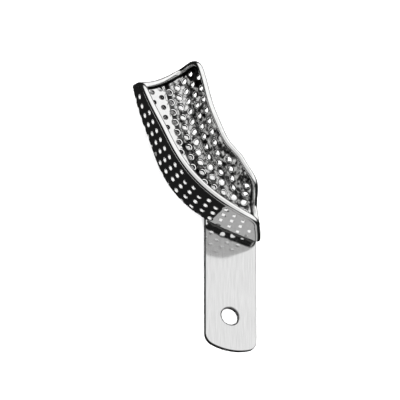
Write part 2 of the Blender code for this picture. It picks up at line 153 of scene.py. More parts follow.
# Painted shade in the bend at the foot of the inner wall
FOOT_SHADE_TONES = ((-4.0, 0.12), (-2.6, 0.12), (-1.8, 1.0))
# Painted shadow along the distal end, under the wire
END_SHADOW_TONES = ((0.4, 0.03), (0.5, 1.0))
# Painted contact shadow along the sheet's edge, beside the wire
SEAM_SHADOW_TONES = ((0.15, 0.05), (0.25, 1.0))
# Painted dark reflection on the handle's edges and painted shade in its hanging hole
EDGE_TONES = ((0.1, 1.0), (0.5, 0.2))
# Painted shade low on the sheet's outer side by the handle
BEND_SHADE_TONES = ((0.0, 1.0), (1.0, 0.05))
SEAM_ROWS = (0.0, 0.2, 0.45)
SEAM_ZONE = 0.9
# Reach of that painted shade: below a height, and over the first part of the trough
BEND_SHADE_TOP = 2.6
BEND_SHADE_FADE = 0.4
BEND_SHADE_END = 0.42
BEND_SHADE_END_FADE = 0.05
FAR_AWAY = -99.0
GRAIN_RANGE = (0.3, 0.7)
# Painted blotchy reflection on the inner wall: dark patches that stand in for mirrored perforations
REFLECTION_BLOTCH_SCALE = 650.0
REFLECTION_BLOTCH_TONES = ((0.42, 0.05), (0.5, 0.6), (0.6, 0.9))
DRAWN_WAVINESS = 4.0

# Rim wire
WIRE_DIAMETER = 1.8
WIRE_INSET = 0.5
WIRE_SIDES = 28

# Braze beads: the front one climbs the outer wall's bend, both have wavy edges
BEAD_REACH = 0.45
BEAD_CLIMB = math.radians(36.0)
BEAD_CLIMB_WAVE = 0.07
BEAD_FOOT = 0.35
BEAD_FOOT_WAVE = 0.12
BEAD_HOLLOW = 0.13
BEAD_BACK = 0.8
BEAD_SIDE_GAP = 0.5
REAR_BEAD_WIDTH = 0.9
REAR_BEAD_WAVE = 0.12
REAR_BEAD_DEPTH = 0.6
REAR_BEAD_RETURN = 2.0
REAR_BEAD_HOLLOW = 0.1
BEAD_STEPS = 7
BEAD_SHARP_ANGLE = math.radians(50)
FRONT_RIPPLE = ((0.5, 95.0, 0.0), (0.3, 211.0, 1.0), (0.4, 37.0, 2.0))
REAR_RIPPLE = ((0.5, 0.9, 0.0), (0.5, 0.37, 1.0))

# Studio: camera axes, camera, light tent and the lights of the table
RIGHT = Vector((0.92499, 0.0, 0.38))
UP = Vector((-0.17254, 0.89103, 0.42))
BACK = RIGHT.cross(UP)
AIM = Vector((-14.353, 31.644, 11.537))
DISTANCE = 1.5
VIEW_WIDTH = 0.12165
SENSOR = 36.0
TABLE_RADIUS = 6.0
TENT_STRENGTH = 1.25
TENT_DARK = 0.012
TENT_EDGE = (0.52, 0.66)
CURTAIN_EDGE = (0.66, 0.80)
CURTAIN_LEVEL = 0.7
RING_LIGHTS = 8
RING_HEIGHT = math.radians(32.0)
RING_DISTANCE = 1.2
RING_LIGHT_SIZE = 0.5
RING_LIGHT_POWER = 9.0


def spline(points, count):
    """Points of a natural cubic spline through the given points, evenly spaced by length."""
    given = np.array(points, dtype=float)
    knots = np.concatenate(([0.0], np.cumsum(np.linalg.norm(np.diff(given, axis=0), axis=1))))
    size = len(given)
    step = np.diff(knots)
    matrix = np.eye(size)
    right = np.zeros_like(given)
    for i in range(1, size - 1):
        matrix[i, i - 1:i + 2] = step[i - 1], 2 * (step[i - 1] + step[i]), step[i]
        slopes = (given[i + 1] - given[i]) / step[i] - (given[i] - given[i - 1]) / step[i - 1]
        right[i] = 6 * slopes
    bend = np.linalg.solve(matrix, right)
    dense = np.linspace(0.0, knots[-1], 40 * count)
    span = np.clip(np.searchsorted(knots, dense) - 1, 0, size - 2)
    width = step[span][:, None]
    after = (dense - knots[span])[:, None] / width
    before = 1 - after
    curve = before * given[span] + after * given[span + 1]
    curve += ((before ** 3 - before) * bend[span] + (after ** 3 - after) * bend[span + 1]) * width ** 2 / 6
    length = np.concatenate(([0.0], np.cumsum(np.linalg.norm(np.diff(curve, axis=0), axis=1))))
    wanted = np.linspace(0.0, length[-1], count)
    return np.column_stack([np.interp(wanted, length, curve[:, axis]) for axis in range(curve.shape[1])])


def unit(vectors):
    """Vectors scaled to length one."""
    return vectors / np.linalg.norm(vectors, axis=-1, keepdims=True)


class PanSurface:
    """Middle surface of the pressed sheet, for arrays of points (u, w).

    u runs from 0 at the mesial end to 1 at the distal end, and w is the length over the section
    from the middle of the floor: negative up the outer wall and positive up the inner wall.
    """

    BEYOND = 0.1

    def __init__(self):
        self.u = np.linspace(0.0, 1.0, STATIONS)
        outer = spline(OUTER_RIM, STATIONS)
        inner = spline(INNER_RIM, STATIONS)
        between = (outer + inner)[:, :2] / 2
        self.length = float(np.linalg.norm(np.diff(between, axis=0), axis=1).sum())
        reach = (inner - outer)[:, :2]
        width = np.linalg.norm(reach, axis=1)
        across = reach / width[:, None]
        below = WIRE_DIAMETER / 2 + TOUCH_GAP
        self.turn = {-1: math.pi / 2 - OUTER_FLARE, 1: math.pi / 2 - INNER_FLARE}
        run = {}
        out = {}
        for side, rim in ((-1, outer), (1, inner)):
            turn = self.turn[side]
            radius = BEND_RADIUS[side]
            run[side] = (rim[:, 2] - below - FLOOR_LEVEL - radius * (1 - math.cos(turn))) / math.sin(turn)
            out[side] = radius * math.sin(turn) + run[side] * math.cos(turn)
        half = (width + 2 * WIRE_INSET - out[-1] - out[1]) / 2
        middle = outer[:, :2] + across * (out[-1] + half - WIRE_INSET)[:, None]
        columns = np.column_stack((middle, across, half, run[-1], run[1]))
        slope = (columns[-1] - columns[-3]) / (self.u[-1] - self.u[-3])
        slope_start = (columns[2] - columns[0]) / (self.u[2] - self.u[0])
        self.table_u = np.concatenate(([-self.BEYOND], self.u, [1 + self.BEYOND]))
        before = columns[0] - slope_start * self.BEYOND
        after = columns[-1] + slope * self.BEYOND
        self.table = np.vstack((before, columns, after))

    def station(self, u):
        """Middle, across direction, half floor and the two wall runs at each u."""
        values = np.column_stack([np.interp(u, self.table_u, column) for column in self.table.T])
        return values[:, :2], unit(values[:, 2:4]), values[:, 4], {-1: values[:, 5], 1: values[:, 6]}

    def edge(self, u, side):
        """Value of w at the rim: side -1 is the outer rim, side 1 the inner rim."""
        half, run = self.station(np.atleast_1d(u))[2:]
        return side * (half + BEND_RADIUS[side] * self.turn[side] + run[side])

    def point(self, u, w):
        """Positions of (u, w)."""
        middle, across, half, _ = self.station(u)
        turn = np.where(w < 0, self.turn[-1], self.turn[1])
        radius = np.where(w < 0, BEND_RADIUS[-1], BEND_RADIUS[1])
        over = np.abs(w)
        angle = np.clip((over - half) / radius, 0.0, turn)
        run = np.maximum(over - half - radius * turn, 0.0)
        out = np.minimum(over, half) + radius * np.sin(angle) + run * np.cos(turn)
        rise = radius * (1 - np.cos(angle)) + run * np.sin(turn)
        flat = middle + across * (np.copysign(out, w))[:, None]
        return np.column_stack((flat, FLOOR_LEVEL + rise))

    def frame(self, u, w):
        """Unit vectors across and along the sheet, its upward normal, length of u, and skew."""
        small_u, small_w = 2e-3, 0.05
        by_u = (self.point(u + small_u, w) - self.point(u - small_u, w)) / (2 * small_u)
        by_w = (self.point(u, w + small_w) - self.point(u, w - small_w)) / (2 * small_w)
        across = unit(by_w)
        skew = (by_u * across).sum(axis=1)
        along = by_u - across * skew[:, None]
        scale = np.linalg.norm(along, axis=1)
        along = along / scale[:, None]
        return across, along, np.cross(across, along), scale, skew

    def shifted(self, u, w, across, along):
        """(u, w) moved by two lengths measured on the sheet."""
        _, _, _, scale, skew = self.frame(u, w)
        step = along / scale
        return u + step, w + across - step * skew

    def from_blank(self, spot):
        """The (u, w) of a point of the flat sheet, or None where it is off the trough."""
        middles, acrosses = self.station(self.u)[:2]
        offset = spot - middles
        side = offset[:, 0] * acrosses[:, 1] - offset[:, 1] * acrosses[:, 0]
        found = []
        for i in np.nonzero((side[:-1] > 0) != (side[1:] > 0))[0]:
            part = side[i] / (side[i] - side[i + 1])
            u = self.u[i] + (self.u[i + 1] - self.u[i]) * part
            middle, across = self.station(np.array([u]))[:2]
            found.append((u, float(np.dot(spot - middle[0], across[0]))))
        return min(found, key=lambda place: abs(place[1])) if found else None


def end_offset(surface, u_end, w):
    """How far the sheet's end is cut back at w: raked up the walls, and hollow at the distal end."""
    half_floor = surface.station(np.array([u_end]))[2][0]
    top = abs(surface.edge(u_end, -1 if w < 0 else 1)[0])
    climb = max(0.0, (abs(w) - half_floor) / (top - half_floor))
    cut = (DISTAL_RAKE[-1 if w < 0 else 1] if u_end else MESIAL_RAKE) * climb ** RAKE_POWER
    if u_end:
        cut += DISTAL_SAG * max(0.0, 1 - ((w - DISTAL_SAG_MIDDLE) / DISTAL_SAG_REACH) ** 2)
    return cut / surface.length


def rounded(polylines, radii, steps):
    """Join polylines end to end into a loop; each corner is rounded with its own radius."""
    loop = []
    trimmed = []
    for line, before, after in zip(polylines, radii[-1:] + radii[:-1], radii):
        line = np.array(line)
        length = np.concatenate(([0.0], np.cumsum(np.linalg.norm(np.diff(line, axis=0), axis=1))))
        cuts = (before, length[-1] - after)
        inside = (length > cuts[0] + 0.1) & (length < cuts[1] - 0.1)
        ends = [[np.interp(at, length, line[:, axis]) for axis in range(2)] for at in cuts]
        trimmed.append(np.vstack((ends[0], line[inside], ends[1])))
    for index, line in enumerate(trimmed):
        corner = np.array(polylines[index][-1])
        start, end = line[-1], trimmed[(index + 1) % len(trimmed)][0]
        loop.extend(line)
        for step in range(1, steps):
            part = step / steps
            loop.append((1 - part) ** 2 * start + 2 * part * (1 - part) * corner + part ** 2 * end)
    return np.array(loop)


def sheet_outline(surface):
    """Loop of the solid model's sheet edge in (u times length, w)."""
    size = surface.length
    u_mesial = {side: end_offset(surface, 0.0, surface.edge(0.0, side)[0]) for side in (-1, 1)}
    u_distal = {side: 1 - end_offset(surface, 1.0, surface.edge(1.0, side)[0]) for side in (-1, 1)}
    count = round(size / EDGE_SPACING)
    sides = {}
    for side in (-1, 1):
        values = np.linspace(u_mesial[side], u_distal[side], count)
        sides[side] = [(u * size, w) for u, w in zip(values, surface.edge(values, side))]
    distal = []
    mesial = []
    for part in np.linspace(0.0, 1.0, round(SECTION_LENGTH / EDGE_SPACING)):
        w = sides[-1][-1][1] + (sides[1][-1][1] - sides[-1][-1][1]) * part
        distal.append(((1 - end_offset(surface, 1.0, w)) * size, w))
        w = sides[1][0][1] + (sides[-1][0][1] - sides[1][0][1]) * part
        mesial.append((end_offset(surface, 0.0, w) * size, w))
    distal[0], distal[-1] = sides[-1][-1], sides[1][-1]
    mesial[0], mesial[-1] = sides[1][0], sides[-1][0]
    return rounded([sides[-1], distal, sides[1][::-1], mesial], CORNER_ROUNDS, CORNER_STEPS)


def inside_margin(loop, spot):
    """Distance from a spot inside the loop to the loop, or a negative number outside it."""
    start = loop
    end = np.roll(loop, -1, axis=0)
    run = end - start
    part = np.clip(((spot - start) * run).sum(axis=1) / (run ** 2).sum(axis=1), 0, 1)
    gap = np.linalg.norm(start + run * part[:, None] - spot, axis=1).min()
    crosses = (start[:, 1] > spot[1]) != (end[:, 1] > spot[1])
    with np.errstate(divide="ignore", invalid="ignore"):
        cut = start[:, 0] + (spot[1] - start[:, 1]) / run[:, 1] * run[:, 0]
    return gap if (crosses & (spot[0] < cut)).sum() % 2 else -gap


def outer_wall_columns(surface):
    """Hole centres of the outer wall as (u, w), in staggered columns evenly spaced along it."""
    beyond = np.linspace(-0.05, 1.05, STATIONS)
    places = surface.point(beyond, -surface.station(beyond)[2] - WALL_MIDDLE)
    arc = np.concatenate(([0.0], np.cumsum(np.linalg.norm(np.diff(places, axis=0), axis=1))))
    arc -= np.interp(0.0, beyond, arc)
    column, row = (index.ravel() for index in np.indices((round(arc[-1] / WALL_COLUMN_PITCH), WALL_ROWS)))
    along = WALL_COLUMN_START + WALL_COLUMN_PITCH * column
    start = WALL_LOW_HEIGHT + WALL_ROW_RISE * (column - WALL_LOW_COLUMN) ** 2
    start = (start + WALL_ROW_PITCH * ((column + 1) % 2) / 2) % WALL_ROW_PITCH
    climb = start + WALL_ROW_PITCH * row
    lean = np.clip(WALL_LEAN * (WALL_UPRIGHT_ARC - along), -WALL_LEAN_LIMIT, WALL_LEAN_LIMIT)
    u = np.interp(along + lean * (climb - WALL_MIDDLE), arc, beyond)
    centres = np.column_stack((u, -surface.station(u)[2] - climb))
    return centres[(u > 0) & (u < 1)]


def hole_centres(surface, loop):
    """Hole centres that lie clear of the sheet's edge, as (u, w)."""
    first = HOLE_PITCH * np.array([math.cos(HOLE_ROW_ANGLE), math.sin(HOLE_ROW_ANGLE)])
    turned = HOLE_ROW_ANGLE + math.pi / 3
    second = HOLE_PITCH * np.array([math.cos(turned), math.sin(turned)])
    reach = range(-LATTICE_REACH, LATTICE_REACH + 1)
    wall = outer_wall_columns(surface)
    wall_places = surface.point(wall[:, 0], wall[:, 1])
    origin = np.array(HOLE_ORIGIN)
    places = [surface.from_blank(origin + i * first + j * second) for i in reach for j in reach]
    flat = np.array([place for place in places if place])
    on_floor = flat[:, 1] >= -surface.station(flat[:, 0])[2] - FLOOR_HOLE_REACH
    flat = flat[on_floor]
    end_cut = np.array([end_offset(surface, 1.0, w) for w in flat[:, 1]])
    last_u = 1 - end_cut - END_HOLE_MARGIN / surface.length
    beyond = (flat[:, 0] > last_u) & (flat[:, 0] < last_u + END_HOLE_SHIFT / surface.length)
    flat[beyond, 0] = last_u[beyond]
    gaps = surface.point(flat[:, 0], flat[:, 1])[:, None, :] - wall_places[None, :, :]
    flat = flat[np.linalg.norm(gaps, axis=2).min(axis=1) > HOLE_CLEARANCE]
    margin = HOLE_DIAMETER / 2 + HOLE_EDGE_MARGIN
    both = np.vstack((wall, flat))
    clear = [inside_margin(loop, np.array([u * surface.length, w])) >= margin for u, w in both]
    return both[np.array(clear)]


def edge_frame(surface, loop):
    """Positions along the sheet's edge with the outward direction and the upward normal."""
    u, w = loop[:, 0] / surface.length, loop[:, 1]
    place = surface.point(u, w)
    normal = surface.frame(u, w)[2]
    forward = np.roll(place, -1, axis=0) - np.roll(place, 1, axis=0)
    outward = unit(np.cross(forward, -normal))
    return place, outward, normal


def grown(surface, loop, distance):
    """The sheet's edge moved outwards by a distance measured on the sheet."""
    u, w = loop[:, 0] / surface.length, loop[:, 1]
    place, outward, _ = edge_frame(surface, loop)
    across, along, _, _, _ = surface.frame(u, w)
    sideways = (outward * across).sum(axis=1) * distance
    onwards = (outward * along).sum(axis=1) * distance
    moved = surface.shifted(u, w, sideways, onwards)
    return np.column_stack((moved[0] * surface.length, moved[1]))


def hole_gaps(surface, places, centres):
    """Distance from each place to the nearest hole's centre."""
    hole_places = surface.point(centres[:, 0], centres[:, 1])
    return np.linalg.norm(places[:, None, :] - hole_places[None, :, :], axis=2).min(axis=1)


def web_points(surface, loop, centres):
    """Extra points that keep the triangles between the holes small."""
    size = surface.length
    low, high = loop.min(axis=0), loop.max(axis=0)
    spots = []
    clearance = HOLE_LIP_RADII[-1] + 0.3 * WEB_SPACING
    edge_clearance = SEAM_ZONE + 0.4 * WEB_SPACING
    rows = np.arange(low[1], high[1], WEB_SPACING * math.sqrt(3) / 2)
    for index, w in enumerate(rows):
        s = np.arange(low[0] + (index % 2) * WEB_SPACING / 2, high[0], WEB_SPACING)
        gaps = hole_gaps(surface, surface.point(s / size, np.full(len(s), w)), centres)
        for at, gap in zip(s, gaps):
            if gap > clearance and inside_margin(loop, np.array([at, w])) > edge_clearance:
                spots.append((at, w))
    return spots


def hole_rings(surface, centres):
    """The circles round the holes as (u, w), one array for each radius of the rolled edge."""
    u = np.repeat(centres[:, 0], HOLE_SIDES)
    w = np.repeat(centres[:, 1], HOLE_SIDES)
    rings = []
    for radius in HOLE_LIP_RADII:
        across = np.tile(radius * np.cos(HOLE_TURNS), len(centres))
        along = np.tile(radius * np.sin(HOLE_TURNS), len(centres))
        rings.append(np.column_stack(surface.shifted(u, w, across, along)))
    return rings


def sheet_web(surface, cad_loop, centres, ring):
    """The sheet between its edge and the outermost ring of each hole.

    Gives the points as (u, w), the triangles, and the point that stands at each place of the ring.
    """
    size = surface.length
    loop = grown(surface, cad_loop, SHEET_REACH)
    points = [Vector(spot) for spot in loop]
    edges = [(i, (i + 1) % len(loop)) for i in range(len(loop))]
    place_of = {}
    for hole in range(len(centres)):
        start = len(points)
        for side in range(HOLE_SIDES):
            place = hole * HOLE_SIDES + side
            place_of[start + side] = place
            points.append(Vector((ring[place][0] * size, ring[place][1])))
            edges.append((start + side, start + (side + 1) % HOLE_SIDES))
    points.extend(Vector(spot) for spot in web_points(surface, loop, centres))
    for inset in SEAM_ROWS:
        row = grown(surface, cad_loop, -inset)
        gaps = hole_gaps(surface, surface.point(row[:, 0] / size, row[:, 1]), centres)
        points.extend(Vector(spot) for spot in row[gaps > HOLE_LIP_RADII[-1] + 0.1])
    flat, _, faces, sources, _, _ = delaunay_2d_cdt(points, edges, [], 0, 1e-6)
    flat = np.array(flat)
    ring_place = [place_of.get(source[0]) if source else None for source in sources]
    kept = []
    for face in faces:
        holes = {None if ring_place[i] is None else ring_place[i] // HOLE_SIDES for i in face}
        fills_a_hole = len(holes) == 1 and None not in holes
        if not fills_a_hole and inside_margin(loop, flat[list(face)].mean(axis=0)) > 0:
            kept.append(tuple(face))
    used = sorted({i for face in kept for i in face})
    index_of = {old: new for new, old in enumerate(used)}
    web = [tuple(index_of[i] for i in face) for face in kept]
    outer_ring = {ring_place[old]: index_of[old] for old in used if ring_place[old] is not None}
    return flat[used] / [size, 1.0], web, outer_ring


def lip_faces(holes, web_count, outer_ring):
    """Quads between the rings round the holes; the outermost ring is part of the web."""
    last = len(HOLE_LIP_RADII) - 1

    def vertex(level, place):
        if level == last:
            return outer_ring[place]
        return web_count + level * holes * HOLE_SIDES + place

    faces = []
    for hole in range(holes):
        for side in range(HOLE_SIDES):
            a = hole * HOLE_SIDES + side
            b = hole * HOLE_SIDES + (side + 1) % HOLE_SIDES
            for level in range(last):
                faces.append((vertex(level, a), vertex(level + 1, a), vertex(level + 1, b), vertex(level, b)))
    return faces


def closed_sheet(faces, normal, top, bottom, top_normal, bottom_normal, radial):
    """Faces and corner normals of the sheet's two sides and of the walls along its edges."""
    count = len(top)
    all_faces = []
    face_normals = []
    for face in faces:
        a, b, c = (top[i] for i in face[:3])
        upward = np.cross(b - a, c - a).dot(normal[face[0]]) > 0
        ordered = face if upward else face[::-1]
        all_faces.append(tuple(ordered))
        face_normals.append([top_normal[i] for i in ordered])
        below = tuple(i + count for i in reversed(ordered))
        all_faces.append(below)
        face_normals.append([bottom_normal[i - count] for i in below])
    border = {}
    for face in all_faces[::2]:
        for a, b in zip(face, face[1:] + face[:1]):
            if (b, a) in border:
                del border[(b, a)]
            else:
                border[(a, b)] = True
    for a, b in border:
        all_faces.append((b, a, a + count, b + count))
        if np.linalg.norm(radial[a]) > 0.5:
            face_normals.append([-radial[b], -radial[a], -radial[a], -radial[b]])
        else:
            side = unit(np.cross(top[a] - top[b], bottom[b] - top[b]))
            face_normals.append([side] * 4)
    return all_faces, face_normals


def store(mesh, name, values):
    """Keep one number for each of a mesh's points, for its material to read."""
    mesh.attributes.new(name, "FLOAT", "POINT").data.foreach_set("value", values)


def pan_mesh(surface):
    """The perforated sheet with its thickness, its rolled hole edges and what its painted light and shade
    follow.
    """
    size = surface.length
    cad_loop = sheet_outline(surface)
    centres = hole_centres(surface, cad_loop)
    holes = len(centres)
    rings = hole_rings(surface, centres)
    web_spots, web, outer_ring = sheet_web(surface, cad_loop, centres, rings[-1])
    u, w = np.vstack([web_spots] + rings[:-1]).T
    position = surface.point(u, w)
    across, along, normal, _, _ = surface.frame(u, w)
    count = len(position)
    height = np.full(count, SHEET_THICKNESS / 2)
    slope = np.zeros(count)
    radial = np.zeros((count, 3))
    cosine = np.tile(np.cos(HOLE_TURNS), holes)[:, None]
    sine = np.tile(np.sin(HOLE_TURNS), holes)[:, None]
    lip = HOLE_LIP_RADII[-1] - HOLE_LIP_RADII[0]
    start = len(web_spots)
    for radius in HOLE_LIP_RADII[:-1]:
        part = (HOLE_LIP_RADII[-1] - radius) / lip
        rows = slice(start, start + holes * HOLE_SIDES)
        height[rows] -= HOLE_LIP_DEPTH * part ** HOLE_LIP_POWER
        slope[rows] = HOLE_LIP_POWER * HOLE_LIP_DEPTH * part ** (HOLE_LIP_POWER - 1) / lip
        radial[rows] = across[rows] * cosine + along[rows] * sine
        start = rows.stop
    top = position + normal * height[:, None]
    bottom = position - normal * height[:, None]
    top_normal = unit(normal - radial * slope[:, None])
    bottom_normal = unit(-normal - radial * slope[:, None])
    faces = web + lip_faces(holes, len(web_spots), outer_ring)
    faces, corner_normals = closed_sheet(faces, normal, top, bottom, top_normal, bottom_normal, radial)
    mesh = make_mesh("perforated_sheet", np.vstack((top, bottom)), faces, corner_normals)
    half = surface.station(u)[2]
    climb = np.where(w < -half, FAR_AWAY, w - half)
    end_gap = (1 - u - np.array([end_offset(surface, 1.0, at) for at in w])) * size
    edge_gap = [inside_margin(cad_loop, spot) for spot in np.column_stack((u * size, w))]
    # Painted shade on the sheet's outer side, low down and near the handle
    low = np.clip((BEND_SHADE_TOP - bottom[:, 2]) / BEND_SHADE_FADE, 0.0, 1.0)
    bend_shade = low * np.clip((BEND_SHADE_END - u) / BEND_SHADE_END_FADE, 0.0, 1.0)
    store(mesh, "hole_reach", np.tile(hole_gaps(surface, position, centres), 2))
    store(mesh, "end_gap", np.tile(end_gap, 2))
    store(mesh, "edge_gap", np.tile(edge_gap, 2))
    store(mesh, "wall_climb", np.concatenate((climb, np.full(count, FAR_AWAY))))
    store(mesh, "painted_bend_shade", np.concatenate((np.zeros(count), bend_shade)))
    return mesh


def make_mesh(name, verts, faces, corner_normals):
    """A smooth mesh in metres with its own corner normals."""
    mesh = bpy.data.meshes.new(name)
    mesh.from_pydata([tuple(v) for v in verts * MM], [], faces)
    mesh.polygons.foreach_set("use_smooth", [True] * len(mesh.polygons))
    normals = [tuple(n) for face in corner_normals for n in face]
    mesh.normals_split_custom_set(normals)
    mesh.update()
    return mesh


def swept_ring(name, centres, radius, sides, first_normal):
    """A closed round tube along a closed line of points."""
    forward = unit(np.roll(centres, -1, axis=0) - np.roll(centres, 1, axis=0))
    normal = np.zeros_like(centres)
    for i in range(len(centres)):
        n = first_normal[i] - forward[i] * first_normal[i].dot(forward[i])
        normal[i] = n / np.linalg.norm(n)
    side = np.cross(forward, normal)
    turns = 2 * math.pi * np.arange(sides) / sides
    cosine = np.cos(turns)[None, :, None]
    sine = np.sin(turns)[None, :, None]
    spokes = normal[:, None, :] * cosine + side[:, None, :] * sine
    verts = (centres[:, None, :] + radius * spokes).reshape(-1, 3)
    flat_normals = spokes.reshape(-1, 3)
    faces = []
    for i in range(len(centres)):
        j = (i + 1) % len(centres)
        for k in range(sides):
            m = (k + 1) % sides
            faces.append((i * sides + k, j * sides + k, j * sides + m, i * sides + m))
    a, b, c = (verts[faces[0][n]] for n in range(3))
    if np.cross(b - a, c - a).dot(flat_normals[faces[0][0]]) < 0:
        faces = [face[::-1] for face in faces]
    return make_mesh(name, verts, faces, [[flat_normals[i] for i in face] for face in faces])


def rim_wire_mesh(surface):
    """The wire round the whole edge, seated against the inside of the sheet's edge."""
    loop = sheet_outline(surface)
    place, outward, normal = edge_frame(surface, loop)
    centres = place + outward * (WIRE_DIAMETER / 2 + TOUCH_GAP) + normal * WIRE_INSET
    for _ in range(2):
        centres = (np.roll(centres, 1, axis=0) + 2 * centres + np.roll(centres, -1, axis=0)) / 4
    return swept_ring("rim_bead", centres, WIRE_DIAMETER / 2, WIRE_SIDES, normal)


def handle_outline():
    """Points round the handle strip, counter-clockwise from above, from its inner right corner."""
    half = HANDLE_WIDTH / 2
    corner = HANDLE_CORNER_RADIUS
    centre_y = HANDLE_END_RADIUS - HANDLE_CROWN
    meet = math.asin((half - corner) / (HANDLE_END_RADIUS - corner))
    corner_y = centre_y - (HANDLE_END_RADIUS - corner) * math.cos(meet)
    points = [(half, y) for y in np.linspace(corner_y, HANDLE_INNER_END, 24)[1:]]
    points += [(x, HANDLE_INNER_END) for x in np.linspace(half, -half, 12)[1:]]
    points += [(-half, y) for y in np.linspace(HANDLE_INNER_END, corner_y, 24)[1:-1]]
    for angle in np.linspace(math.pi, 1.5 * math.pi - meet, 16):
        points.append((corner - half + corner * math.cos(angle), corner_y + corner * math.sin(angle)))
    for angle in np.linspace(-math.pi / 2 - meet, -math.pi / 2 + meet, 30)[1:-1]:
        points.append((HANDLE_END_RADIUS * math.cos(angle), centre_y + HANDLE_END_RADIUS * math.sin(angle)))
    for angle in np.linspace(meet - math.pi / 2, 0.0, 16):
        points.append((half - corner + corner * math.cos(angle), corner_y + corner * math.sin(angle)))
    return np.array(points) + [HANDLE_SHIFT, 0.0]


def outline_normals(points):
    """Outward normals of a counter-clockwise closed outline."""
    run = unit(np.roll(points, -1, axis=0) - points)
    back = np.roll(run, 1, axis=0)
    tangent = unit(run + back)
    stretch = 1 / np.maximum((tangent * run).sum(axis=1), 0.5)
    normal = np.column_stack((tangent[:, 1], -tangent[:, 0]))
    return normal, stretch


def handle_edge_profile():
    """Rings down the strip's rounded edge: how far in, how high, and the two parts of the normal."""
    r = HANDLE_EDGE_ROUND
    upper = [
        (r * (1 - math.sin(a)), -r * (1 - math.cos(a)), math.sin(a), math.cos(a))
        for a in np.linspace(0.0, math.pi / 2, 6)
    ]
    lower = [(inset, -HANDLE_THICKNESS - z, sine, -cosine) for inset, z, sine, cosine in reversed(upper)]
    return upper + lower


def hanging_hole_profile():
    """Rings down the hanging hole: how far out, how high, and the two parts of the normal."""
    slant = math.hypot(HOLE_CHAMFER, HOLE_CHAMFER_DEPTH)
    tilt = (HOLE_CHAMFER_DEPTH / slant, HOLE_CHAMFER / slant)
    return [
        (HOLE_CHAMFER + HOLE_CHAMFER_SOFTNESS, 0.0, 0.0, 1.0),
        (HOLE_CHAMFER, -0.03, tilt[0], tilt[1]),
        (0.06, -HOLE_CHAMFER_DEPTH, tilt[0], tilt[1]),
        (0.0, -HOLE_CHAMFER_DEPTH - 0.08, 1.0, 0.0),
        (0.0, -HANDLE_THICKNESS + HOLE_LOWER_ROUND, 1.0, 0.0),
        (HOLE_LOWER_ROUND, -HANDLE_THICKNESS, 0.0, -1.0),
    ]


def triangles_between(outline, hole):
    """Counter-clockwise triangles between an outline and the hole in it, whose points come last."""
    points = [Vector(p) for p in outline] + [Vector(p) for p in hole]
    n, m = len(outline), len(hole)
    edges = [(i, (i + 1) % n) for i in range(n)] + [(n + i, n + (i + 1) % m) for i in range(m)]
    _, _, triangles, sources, _, _ = delaunay_2d_cdt(points, edges, [], 0, 1e-7)
    kept = []
    for triangle in triangles:
        ids = [sources[i][0] for i in triangle]
        over_the_hole = all(i >= n for i in ids)
        if over_the_hole or inside_margin(outline, np.mean([points[i] for i in ids], axis=0)) <= 0:
            continue
        a, b, c = (np.array(points[i]) for i in ids)
        turning = (b - a)[0] * (c - a)[1] - (b - a)[1] * (c - a)[0]
        kept.append(ids if turning > 0 else ids[::-1])
    return kept


def handle_mesh():
    """The strip with rounded edges and a hanging hole that is chamfered on its upper side."""
    outline = handle_outline()
    normal, stretch = outline_normals(outline)
    turns = 2 * math.pi * np.arange(HANGING_HOLE_SIDES) / HANGING_HOLE_SIDES
    hole_direction = np.column_stack((np.cos(turns), np.sin(turns)))
    edge_profile = handle_edge_profile()
    hole_profile = hanging_hole_profile()
    verts = []
    normals = []
    for inset, z, sine, cosine in edge_profile:
        ring = outline - normal * (inset * stretch)[:, None]
        verts.append(np.column_stack((ring, np.full(len(ring), z))))
        normals.append(np.column_stack((normal * sine, np.full(len(ring), cosine))))
    for outset, z, sine, cosine in hole_profile:
        ring = hole_direction * (HANGING_HOLE_DIAMETER / 2 + outset) + HANGING_HOLE_PLACE
        verts.append(np.column_stack((ring, np.full(len(ring), z))))
        normals.append(np.column_stack((-hole_direction * sine, np.full(len(ring), cosine))))
    starts = np.concatenate(([0], np.cumsum([len(ring) for ring in verts])))
    edge_rings, hole_rings_end = len(edge_profile), len(verts)
    faces = []
    corner_normals = []
    for first, last, corners in (
        (0, edge_rings, ((0, 0), (1, 0), (1, 1), (0, 1))),
        (edge_rings, hole_rings_end, ((0, 0), (0, 1), (1, 1), (1, 0))),
    ):
        for level in range(first, last - 1):
            count = len(verts[level])
            for i in range(count):
                quad = [(level + down, (i + onward) % count) for down, onward in corners]
                faces.append(tuple(int(starts[row] + place) for row, place in quad))
                corner_normals.append([normals[row][place] for row, place in quad])
    for outer_row, hole_row, up in ((0, edge_rings, 1), (edge_rings - 1, hole_rings_end - 1, -1)):
        n = len(outline)
        for ids in triangles_between(verts[outer_row][:, :2], verts[hole_row][:, :2]):
            face = [int(starts[outer_row] + i) if i < n else int(starts[hole_row] + i - n) for i in ids]
            faces.append(tuple(face[::up]))
            corner_normals.append([(0.0, 0.0, float(up))] * 3)
    mesh = make_mesh("handle_strip_finished", np.vstack(verts), faces, corner_normals)
    # Painted shade level: 1 on the rounded edges and down the hanging hole's bore, 0 on the flat faces
    shades = [0.0] + [1.0] * (edge_rings - 2) + [0.0]
    shades += [0.0, 0.0] + [1.0] * (len(hole_profile) - 3) + [0.0]
    store(mesh, "edge_shade", np.repeat(shades, [len(ring) for ring in verts]))
    return mesh


